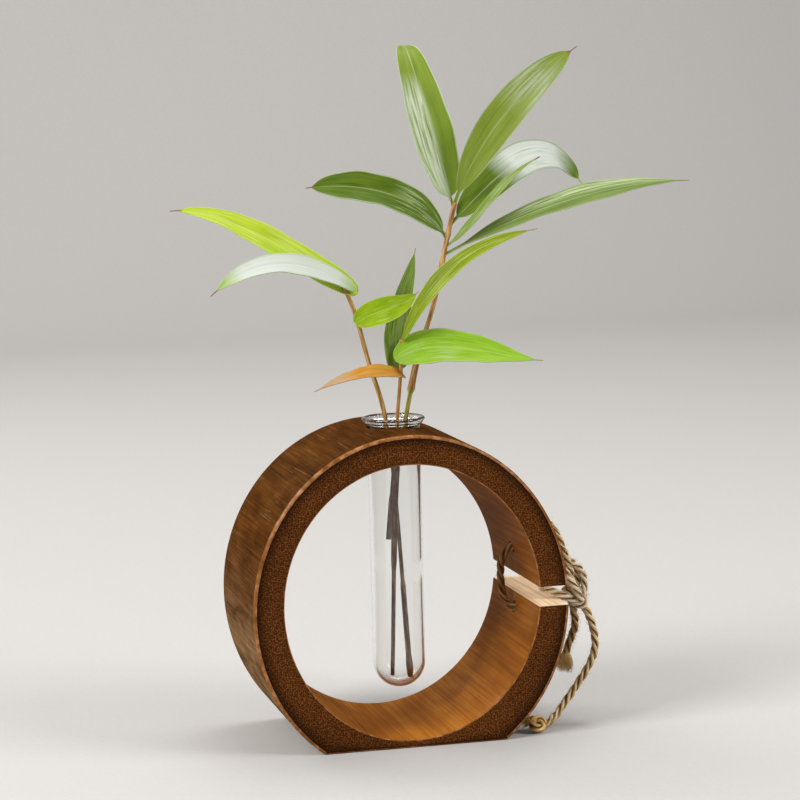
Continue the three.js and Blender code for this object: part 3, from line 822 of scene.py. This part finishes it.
def ring_stations():
    """Outer and inner points of the slice, from the upper sawn face round to the lower one."""
    top, bottom = GAP_CENTRE + GAP_HALF, GAP_CENTRE - GAP_HALF
    first = oval_angle(top, RING_HALF, RING_CENTRE)
    last = 360 + oval_angle(bottom, RING_HALF, RING_CENTRE)
    foot = oval_angle(0, RING_HALF, RING_CENTRE)
    marks = np.concatenate([np.linspace(first, last, STATIONS), [180 - foot, 360 + foot]])
    outer_angle = np.unique(marks)
    share = (outer_angle - first) / (last - first)
    inner_first = oval_angle(top, BORE_HALF, BORE_CENTRE)
    inner_last = 360 + oval_angle(bottom, BORE_HALF, BORE_CENTRE)
    outer = oval_point(outer_angle, RING_HALF, RING_CENTRE)
    outer[:, 2] = np.maximum(outer[:, 2], 0)
    inner = oval_point(inner_first + share * (inner_last - inner_first), BORE_HALF, BORE_CENTRE)
    return outer, inner


def quarter(start, end, corner, steps):
    """Round corner from start to end."""
    t = np.linspace(0, np.pi / 2, steps + 1)[:, None]
    return np.array(corner) + (np.array(start) - corner) * np.cos(t) + (np.array(end) - corner) * np.sin(t)


def ring_section(wall, edge):
    """Depth and place along the culm round one section, with the material of each step."""
    d, b = RING_HALF_DEPTH, BORE_EDGE
    parts = [
        (EDGE, quarter((edge, -d), (0, -d + edge), (edge, -d + edge), EDGE_STEPS)),
        (SKIN, np.linspace((0, -d + edge), (0, d - edge), CULM_ROWS)),
        (EDGE, quarter((0, d - edge), (edge, d), (edge, d - edge), EDGE_STEPS)),
        (GRAIN, np.linspace((edge, d), (wall - b, d), GRAIN_ROWS)),
        (BORE, quarter((wall - b, d), (wall, d - b), (wall - b, d - b), BORE_EDGE_STEPS)),
        (BORE, np.linspace((wall, d - b), (wall, -d + b), CULM_ROWS)),
        (EDGE, quarter((wall, -d + b), (wall - b, -d), (wall - b, -d + b), BORE_EDGE_STEPS)),
        (GRAIN, np.linspace((wall - b, -d), (edge, -d), GRAIN_ROWS)),
    ]
    places = np.vstack([p[:-1] for _, p in parts])
    looks = [look for look, p in parts for _ in p[:-1]]
    return places, looks


def drill_piece(name, radius, start, end):
    """Round cutter for a drilled hole."""
    shape = Shape()
    shape.rod(np.linspace(start, end, 3), radius, DRILL_SIDES)
    return shape.make(name, [bpy.data.materials["drilled_wood"]])


def carve(piece, cutters):
    """Takes the cutters out of a piece and removes them."""
    for cutter in cutters:
        cut = piece.modifiers.new("cut", "BOOLEAN")
        cut.operation = "DIFFERENCE"
        cut.solver = "EXACT"
        cut.material_mode = "TRANSFER"
        cut.object = cutter
    graph = bpy.context.evaluated_depsgraph_get()
    carved = bpy.data.meshes.new_from_object(piece.evaluated_get(graph))
    piece.modifiers.clear()
    piece.data = carved
    for cutter in cutters:
        bpy.data.objects.remove(cutter)


def build_ring():
    """The slice of culm, with its three drilled holes."""
    outer, inner = ring_stations()
    rings = []
    for o, i in zip(outer, inner):
        wall = np.linalg.norm(i - o)
        edge = EDGE_ROUND if o[2] > 0 else FOOT_EDGE
        places, looks = ring_section(wall, edge)
        inward = (i - o) / wall
        rings.append(o + places[:, :1] * inward + places[:, 1:] * (0, 1, 0))
    rings = np.array(rings)
    shape = Shape()
    depth = np.append(places[:, 0], places[0, 0])
    shape.skin(rings, depth, run_along(outer), looks, caps=SAWN)
    finishes = [skin_look(), end_grain_look(), bore_look(), sawn_look(), drilled_look(), edge_painted_highlight_look()]
    ring = shape.make("culm_slice", finishes)
    low, high = TUBE_DRILL
    holes = [drill_piece("tube_drill", TUBE_RADIUS + TUBE_PLAY, (TUBE_SIDE, 0, low), (TUBE_SIDE, 0, high))]
    for k, (mouth, out, skin) in enumerate((UPPER_HOLE, LOWER_HOLE)):
        past = DRILL_PAST * out
        holes.append(drill_piece("lash_drill_%d" % k, LASH_HOLE, mouth - past, skin + past))
    carve(ring, holes)
    ring.data.set_sharp_from_angle(angle=RING_SHARP)
    settle(ring, "vase", "carbonised_bamboo", "bamboo_ring")


# Glass tube
TUBE_RADIUS = 10.0
TUBE_BORE = 9.0
TUBE_SIDE = 1.6
TUBE_LENGTH = 103.0
LIP_TOP = 119.2
LIP_RADIUS = 12.0
LIP_HEIGHT = 2.3
RIM_BEAD = 0.75
RIM_RISE = 0.7
FLARE_FOOT = 0.4
FLARE_TOP = 0.7
FLARE_OUT = 1.1
WALL_END = 0.9  # below the flare, so that no two rows meet
RIM_ARC = (-75, 160)
THROAT_DROP = 1.6
THROAT_FOOT = 1
WALL_START = 8
BORE_START = 6
BORE_END = 4
BOTTOM_STEPS = 24
WALL_ROWS = 8
FLARE_STEPS = 6
RIM_STEPS = 18
THROAT_STEPS = 8
POLE = 0.02
TUBE_SIDES = 112


def tube_profile():
    """Radius and height from the tube's lowest point, out over the lip and down the bore."""
    arc = np.radians(np.linspace(0, 90, BOTTOM_STEPS))
    outside = np.column_stack([TUBE_RADIUS * np.sin(arc), TUBE_RADIUS - TUBE_RADIUS * np.cos(arc)])
    inside = np.column_stack([TUBE_BORE * np.sin(arc), TUBE_RADIUS - TUBE_BORE * np.cos(arc)])[::-1]
    low = TUBE_LENGTH - LIP_HEIGHT
    wall = [(TUBE_RADIUS, h) for h in np.linspace(TUBE_RADIUS + WALL_START, low - WALL_END, WALL_ROWS)]
    wide = TUBE_RADIUS + FLARE_OUT
    foot = low - FLARE_FOOT
    flare = quarter((TUBE_RADIUS, foot), (wide, low + FLARE_TOP), (wide, foot), FLARE_STEPS)
    top = TUBE_LENGTH + RIM_RISE
    bead = LIP_RADIUS - RIM_BEAD
    angle = np.radians(np.linspace(*RIM_ARC, RIM_STEPS))
    rim = np.column_stack([bead + RIM_BEAD * np.cos(angle), top - RIM_BEAD + RIM_BEAD * np.sin(angle)])
    inner, end = bead - RIM_BEAD, low - THROAT_FOOT
    throat = quarter((inner, top - THROAT_DROP), (TUBE_BORE, end), (inner, end), THROAT_STEPS)
    bore = [(TUBE_BORE, h) for h in np.linspace(low - BORE_END, TUBE_RADIUS + BORE_START, WALL_ROWS)]
    return np.vstack([outside, wall, flare, rim, throat, bore, inside])


def build_tube():
    """The tube, turned from its profile."""
    profile = tube_profile()
    profile[[0, -1], 0] = POLE
    angle = np.linspace(0, 2 * np.pi, TUBE_SIDES, endpoint=False)
    rim = np.column_stack([np.cos(angle), np.sin(angle), np.zeros(TUBE_SIDES)])
    foot = np.array((TUBE_SIDE, 0, LIP_TOP - TUBE_LENGTH))
    rings = np.array([foot + rim * r + (0, 0, h) for r, h in profile])
    shape = Shape()
    shape.skin(rings, np.linspace(0, 1, TUBE_SIDES + 1), run_along(profile))
    settle(shape.make("test_tube", [glass_look()]), "tube", "clear_glass", "glass_tube")


# Stems: points above the mouth, and changes of girth by height
MOUTH = np.array((TUBE_SIDE, 0, LIP_TOP))
STEM_TAPER = 0.78
STEM_STEP = 0.8
STEM_SIDES = 12
JOINT_SPREAD = 0.008
JOINT_SWELL = 0.24
SHEATH_FADE = 5
SHEATH_SWELL = 0.1
WET_DEPTH = 3
STEMS = {
    "left": dict(
        body="front_sprigs", diameter=2.2, foot=(6.2, 0.9, 19.06), joints=(0.62, 0.9), fresh=100,
        colors=((0.17, 0.07, 0.012), (0.4, 0.21, 0.045), (0.7, 0.5, 0.2)),
        girth=[(18, 0.75), (21, 1.2), (24, 1.3), (28, 1.0), (55, 1.0), (57, 0.75), (110, 0.75),
               (122, 0.95), (175, 0.9)],
        above=[(-3.3, -1.5, 0), (-9.3, -2, 21.6), (-14.2, -2, 40.6), (-18.3, -1.2, 51.7)]),
    "front": dict(
        body="front_sprigs", diameter=1.9, foot=(-2.845, -6.349, 74.2), joints=(0.84,), fresh=100,
        colors=((0.24, 0.085, 0.016), (0.46, 0.22, 0.05), (0.66, 0.42, 0.15)),
        girth=[(74, 1.0), (88, 1.1), (92, 0.8), (150, 0.9)],
        above=[(0.6, -4, 0), (2.5, -3.5, 18), (2.9, -3.6, 30)]),
    "tall": dict(
        body="tall_sprig", diameter=2.7, foot=(-0.3, 4, 19.46), joints=(0.6, 0.87, 0.93), fresh=129,
        colors=((0.14, 0.05, 0.01), (0.36, 0.17, 0.04), (0.62, 0.4, 0.16)),
        girth=[(19, 0.6), (60, 0.66), (64, 0.9), (80, 1.0), (83, 1.15), (86, 0.95), (99, 1.0),
               (101, 0.8), (128, 0.72), (130, 1.1), (145, 1.05), (150, 0.8), (205, 0.85)],
        above=[(2.4, 4, -16), (6, 4, 0), (11.4, 5.2, 22), (18.6, 6.8, 42), (24.2, 8.4, 64),
               (28.6, 10, 80)]),
}


def build_stem(name, stem):
    """A twig with its joints. Returns its middle line."""
    line = smooth_line([stem["foot"]] + [MOUTH + p for p in stem["above"]], STEM_STEP)
    run = run_along(line)
    t = run / run[-1]
    radius = stem["diameter"] / 2 * (1 + (STEM_TAPER - 1) * t)
    radius = radius * np.interp(line[:, 2], *zip(*stem["girth"]))
    for joint in stem["joints"]:
        ring = np.exp(-((t - joint) / JOINT_SPREAD) ** 2)
        past = run - joint * run[-1]
        sheath = np.where(past > 0, np.exp(-past / SHEATH_FADE), 0)
        radius = radius * (1 + JOINT_SWELL * ring + SHEATH_SWELL * sheath)
    shape = Shape()
    shape.rod(line, radius, STEM_SIDES)
    look = stem_look("twig_" + name, stem["colors"], LIP_TOP - WET_DEPTH, stem["fresh"])
    settle(shape.make("twig_" + name, [look]), stem["body"], "twig", name + "_stem")
    return line


# Leaves
LEAF_THICKNESS = 0.36
LEAF_STALK = 0.7
LEAF_STALK_SHARE = 0.06
LEAF_TAIL_SHARE = 0.05
LEAF_TIP = 0.12
LEAF_CUP = 0.16
LEAF_RIB = 0.16
LEAF_RIB_SPREAD = 0.1
LEAF_RIB_SUNK = 0.6
LONG_WAVE = (0.05, 14)
SHORT_WAVE = (0.03, 31)
LEAF_POINTS = 400
LEAF_CROWDING = 1.15
LEAF_SHARP = math.radians(60)
LEAF_ROWS = 60
LEAF_COLUMNS = 14
RED_TIP = (0.26, 0.1, 0.045)
PALE_TIP = (0.42, 0.28, 0.13)
LIME_TIP = (0.32, 0.42, 0.05)
WHITE = (0.77, 0.81, 0.74)
PALE_GREEN = (0.62, 0.72, 0.4)
LIME = (0.72, 0.84, 0.2)


def sheen(color, fill, along=(0.0, 1.0), across=(0.0, 1.0)):
    """Pale light on a blade: its colour, its fill, and where from base to tip and edge to edge."""
    return dict(color=color, fill=fill, along=along, across=across)


# Colours of a leaf: deep and light green, its dry tip and its sheen
LEAVES = {
    "left_leaf_far": dict(
        node=50, start=(5.4, 1.6, -2.2), out=(-18.6, 3, 11.5), over=(-41.6, 8, 32), tip=(-62, 17, 30),
        width=12.4, base=0.35, point=0.65, faces=[(0.2, -0.75, 0.6)],
        colors=((0.41, 0.54, 0.02), (0.61, 0.74, 0.06), RED_TIP, sheen(LIME, 0.25))),
    "left_leaf_near": dict(
        node=51.7, start=(5, -0.4, -2.6), out=(-8, -2.6, 6.2), over=(-30, -6, 16.5),
        tip=(-53.3, -19.7, -1.1), width=10.6, base=0.5, point=0.75,
        faces=[(0.3, -0.7, 0.65), (0, -0.55, 0.83)],
        colors=((0.3, 0.46, 0.08), (0.5, 0.64, 0.2), RED_TIP, sheen(WHITE, 1.2, along=(0.05, 0.82)))),
    "left_leaf_small": dict(
        node=36.5, start=(-1.4, -1.1, 0.2), out=(6.1, -4.4, 5.8), over=(16, -1.2, 4.2),
        tip=(23.9, 1.2, 10.9), width=10, base=0.45, point=0.8, faces=[(0.1, -0.95, 0.3)],
        colors=((0.3, 0.48, 0.006), (0.44, 0.62, 0.02), PALE_TIP, sheen(LIME, 0.15))),
    "front_leaf_old": dict(
        node=16.5, start=(0.9, -1.5, -0.6), out=(-10, -8.5, 4.2), over=(-24.5, -12, 1.6),
        tip=(-36.5, -16, -3.4), width=7, base=0.3, point=0.95, faces=[(0, -0.6, 0.8)],
        colors=((0.56, 0.25, 0.03), (0.78, 0.42, 0.06), PALE_TIP,
                sheen((0.68, 0.5, 0.31), 0.65, along=(0.62, 1.1)))),
    "front_leaf_upright": dict(
        node=19, start=(-0.6, 1.4, -1.2), out=(-3.7, 4.5, 13.5), over=(4.4, 3.4, 30.5), tip=(8.1, 5, 44.3),
        width=10.4, base=0.26, point=0.8, faces=[(0.25, -0.95, 0.1)],
        colors=((0.12, 0.225, 0.008), (0.29, 0.43, 0.06), PALE_TIP, sheen((0.45, 0.55, 0.22), 0.3))),
    "front_leaf_broad": dict(
        node=23.4, start=(-2.6, -1.3, -1.2), out=(10.8, -5, 9.6), over=(35, -17, -1), tip=(48.5, -24, -1.6),
        width=14.8, base=0.5, point=1, faces=[(0, -0.84, 0.54), (0, -0.75, 0.66)],
        colors=((0.24, 0.48, 0.012), (0.42, 0.64, 0.06), PALE_TIP,
                sheen(PALE_GREEN, 0.15, along=(0.1, 0.45)))),
    "front_leaf_rising": dict(
        node=28.6, start=(0.3, -1.55, 0.6), out=(6.9, -14, 21.8), over=(20.6, -15, 36.6),
        tip=(48.2, -20.5, 41.6), width=7.6, base=0.7, point=0.85, faces=[(-0.6, -0.6, 0.55)],
        colors=((0.19, 0.275, 0.004), (0.32, 0.4, 0.014), PALE_TIP, sheen(LIME, 0.2))),
    "tall_leaf_upright": dict(
        node=77.5, out=(-5, 7, 21.4), over=(-17, 1, 69), tip=(-10, 34, 61),
        width=17.5, base=0.42, point=0.8, faces=[(0.3, -0.95, 0.1), (-0.1, -0.5, 0.8)],
        colors=((0.2, 0.31, 0.025), (0.32, 0.43, 0.06), PALE_TIP,
                sheen((0.8, 0.87, 0.68), 0.6, along=(0.04, 0.6), across=(-0.1, 0.55)))),
    "tall_leaf_top": dict(
        node=80, out=(8.5, -5, 24.8), over=(25, -10.5, 43.5), tip=(45, -14.4, 57.6),
        width=14, base=0.6, point=0.55, faces=[(0.1, -0.95, 0.25), (-0.45, -0.85, 0.25)],
        colors=((0.23, 0.32, 0.03), (0.35, 0.44, 0.08), RED_TIP,
                sheen((0.58, 0.64, 0.42), 0.5, along=(0.6, 0.84)))),
    "tall_leaf_arching": dict(
        node=71.5, out=(18.5, 1, 17), over=(42.5, 18.6, 39), tip=(60.5, 23.7, 12.5),
        width=16, base=0.5, point=0.5, faces=[(0, -0.75, 0.65)],
        colors=((0.1, 0.17, 0.006), (0.2, 0.3, 0.03), LIME_TIP, sheen(WHITE, 0.95, along=(0.42, 0.84)))),
    "tall_leaf_narrow": dict(
        node=63, out=(12.4, -5.8, 9.3), over=(19.2, -8, 26.1), tip=(35, -10.6, 33.5),
        width=5, base=0.6, point=0.85, faces=[(-0.6, -0.38, 0.66)],
        colors=((0.16, 0.27, 0.02), (0.32, 0.45, 0.07), RED_TIP, sheen(PALE_GREEN, 0.3))),
    "tall_leaf_long": dict(
        node=60, out=(29.2, -5, 16), over=(60.6, -11.4, 26.2), tip=(92.4, -18.6, 26.2),
        width=12.5, base=1.1, point=0.9, faces=[(0.2, -0.5, 0.85)],
        colors=((0.12, 0.18, 0.03), (0.26, 0.37, 0.08), PALE_TIP,
                sheen(PALE_GREEN, 0.55, along=(0.3, 0.98), across=(-0.1, 0.36)))),
    "tall_leaf_left": dict(
        node=66, out=(-11, 1.6, 19.4), over=(-32.4, 11.2, 22.4), tip=(-50.2, 19.2, 20.4),
        width=14.5, base=0.55, point=0.5, faces=[(0, -0.8, 0.6)],
        colors=((0.07, 0.135, 0.002), (0.16, 0.25, 0.022), RED_TIP,
                sheen(PALE_GREEN, 0.25, along=(0.0, 0.4)))),
}


def leaf_line(origin, leaf, rows):
    """Middle line of a blade: one bend from the stem over to the tip."""
    t = np.linspace(0, 1, LEAF_POINTS)[:, None]
    start = np.array(leaf.get("start", (0, 0, 0)), float)
    out, over, tip = (np.array(leaf[k], float) for k in ("out", "over", "tip"))
    near = start * (1 - t) ** 3 + 3 * out * t * (1 - t) ** 2
    bend = near + 3 * over * t ** 2 * (1 - t) + tip * t ** 3
    line = origin + bend
    marks = np.linspace(0, 1, rows + 1) ** LEAF_CROWDING
    return marks, points_at(line, marks * run_along(line)[-1])


def leaf_half_width(leaf, t):
    """Half the width of a blade at shares of its length."""
    stalk = 0 if "start" in leaf else LEAF_STALK_SHARE
    u = np.clip((t - stalk) / (1 - stalk - LEAF_TAIL_SHARE), 0, 1)
    widest = leaf["base"] / (leaf["base"] + leaf["point"])
    most = widest ** leaf["base"] * (1 - widest) ** leaf["point"]
    outline = u ** leaf["base"] * (1 - u) ** leaf["point"] / most
    return np.maximum(leaf["width"] / 2 * outline, LEAF_STALK + (LEAF_TIP - LEAF_STALK) * t)


def build_leaf(name, leaf, stem_line, body):
    """A cupped blade with a midrib and waved edges, set on its stem."""
    height = MOUTH[2] + leaf["node"]
    at = min(int(np.searchsorted(stem_line[:, 2], height)), len(stem_line) - 1)
    t, line = leaf_line(stem_line[at], leaf, LEAF_ROWS)
    along = unit(np.gradient(line, axis=0))
    first, last = np.array(leaf["faces"][0]), np.array(leaf["faces"][-1])
    facing = first + (last - first) * t[:, None]
    side = unit(np.cross(along, facing))
    up = np.cross(side, along)
    half = leaf_half_width(leaf, t)
    s = np.linspace(-1, 1, LEAF_COLUMNS + 1)
    phase = rng.uniform(0, 6, 2)
    (tall, slow), (small, quick) = LONG_WAVE, SHORT_WAVE
    wave = tall * np.sin(slow * t + phase[0])[:, None] * np.sign(s)
    wave = wave + small * np.sin(quick * t + phase[1])[:, None]
    lift = half[:, None] * (LEAF_CUP * s ** 2 + wave * s ** 2)
    rib = LEAF_RIB * np.exp(-(s / LEAF_RIB_SPREAD) ** 2)
    full = LEAF_THICKNESS / 2
    thick = np.minimum(full, half)[:, None]
    flat = line[:, None] + side[:, None] * (half[:, None] * s)[..., None]
    top = flat + up[:, None] * (lift + thick - LEAF_RIB_SUNK * rib * thick / full)[..., None]
    under = flat + up[:, None] * (lift - thick - rib * thick / full)[..., None]
    rings = np.concatenate([top, under[:, ::-1]], axis=1)
    u = (s + 1) / 2
    around = np.concatenate([u, u[::-1], [0]])
    shape = Shape()
    shape.skin(rings, around, t)
    piece = shape.make("blade_" + name, [leaf_look("blade_" + name, *leaf["colors"])])
    piece.data.set_sharp_from_angle(angle=LEAF_SHARP)
    finish = "dry_leaf" if name == "front_leaf_old" else "green_leaf"
    settle(piece, body, finish, name)


def build_sprigs():
    """Each stem, followed by the leaves that carry its name."""
    for stem_name, stem in STEMS.items():
        line = build_stem(stem_name, stem)
        for name, leaf in LEAVES.items():
            if name.startswith(stem_name):
                build_leaf(name, leaf, line, stem["body"])


# Stage and light, in metres
FLOOR_REACH = 4.0
FLOOR_DROP = 0.0002
BEND_STEPS = 24
WALL_PLACE = 1.6
WALL_BEND = 0.6
SKY_COLOR = (1, 0.98, 0.96, 1)
SKY_STRENGTH = 0.2


def build_stage():
    """Pale floor that bends up into a wall behind the vase."""
    bend = np.radians(np.linspace(0, 90, BEND_STEPS))
    rows = [(-FLOOR_REACH, 0)]
    for a in bend:
        rows.append((WALL_PLACE + WALL_BEND * math.sin(a), WALL_BEND - WALL_BEND * math.cos(a)))
    rows += [(WALL_PLACE + WALL_BEND, FLOOR_REACH)]
    points = [(x, y, z - FLOOR_DROP) for y, z in rows for x in (-FLOOR_REACH, FLOOR_REACH)]
    faces = [(2 * k, 2 * k + 1, 2 * k + 3, 2 * k + 2) for k in range(len(rows) - 1)]
    mesh = bpy.data.meshes.new("floor")
    mesh.from_pydata(points, [], faces)
    mesh.polygons.foreach_set("use_smooth", [True] * len(faces))
    look = Look("floor", roughness=0.8)
    weave = look.noise((400, 900, 400), detail=2)
    look.color(look.ramp(weave, (0.3, (0.5, 0.485, 0.466)), (0.7, (0.53, 0.515, 0.492))))
    mesh.materials.append(look.material)
    floor = add_object("floor", mesh)


def add_softbox(name, place, aim, size, power):
    """A soft lamp that faces its aim."""
    data = bpy.data.lights.new(name, "AREA")
    data.shape = "RECTANGLE"
    data.size, data.size_y = size
    data.energy = power
    lamp = add_object(name, data)
    lamp.location = place
    lamp.rotation_euler = (Vector(aim) - Vector(place)).to_track_quat("-Z", "Y").to_euler()


def light_stage():
    """Soft lamps and a dim even sky."""
    middle = (0, 0, 0.1)
    add_softbox("key", (-1.1, -0.5, 0.85), middle, (0.6, 0.55), 19)
    add_softbox("fill", (1.0, -0.7, 0.8), middle, (0.7, 0.6), 12)
    add_softbox("rim", (-0.7, 0.9, 0.9), middle, (0.8, 0.6), 4)
    add_softbox("top", (0.25, 0.25, 1.3), middle, (0.7, 0.6), 5.5)
    add_softbox("backdrop", (0, 0.9, 1.9), (0, 2.2, 0.5), (2.6, 0.5), 26)
    world = bpy.data.worlds.new("studio")
    world.use_nodes = True
    sky = world.node_tree.nodes["Background"].inputs
    sky["Color"].default_value = SKY_COLOR
    sky["Strength"].default_value = SKY_STRENGTH
    bpy.context.scene.world = world
    bpy.context.scene.view_settings.view_transform = "Standard"


place_camera()
hemp_twine = twine_look("hemp", (0.15, 0.07, 0.02), (0.98, 0.78, 0.48))
brown_hemp = twine_look("brown_hemp", (0.15, 0.07, 0.022), (0.6, 0.4, 0.19))
# A paler copy of the hemp for the hitch: painted light, making it brighter than the rest of the twine
painted_light_hemp = twine_look("painted_light_hemp", (0.3, 0.19, 0.09), (0.97, 0.87, 0.69))
frayed_hemp = twine_look("frayed_hemp", (0.6, 0.37, 0.12), (0.96, 0.72, 0.34))
lay_long_tail(hemp_twine, frayed_hemp)
lay_short_tail(brown_hemp, frayed_hemp)
lay_lashing(hemp_twine, brown_hemp, painted_light_hemp)
build_ring()
build_tube()
build_sprigs()
build_stage()
light_stage()
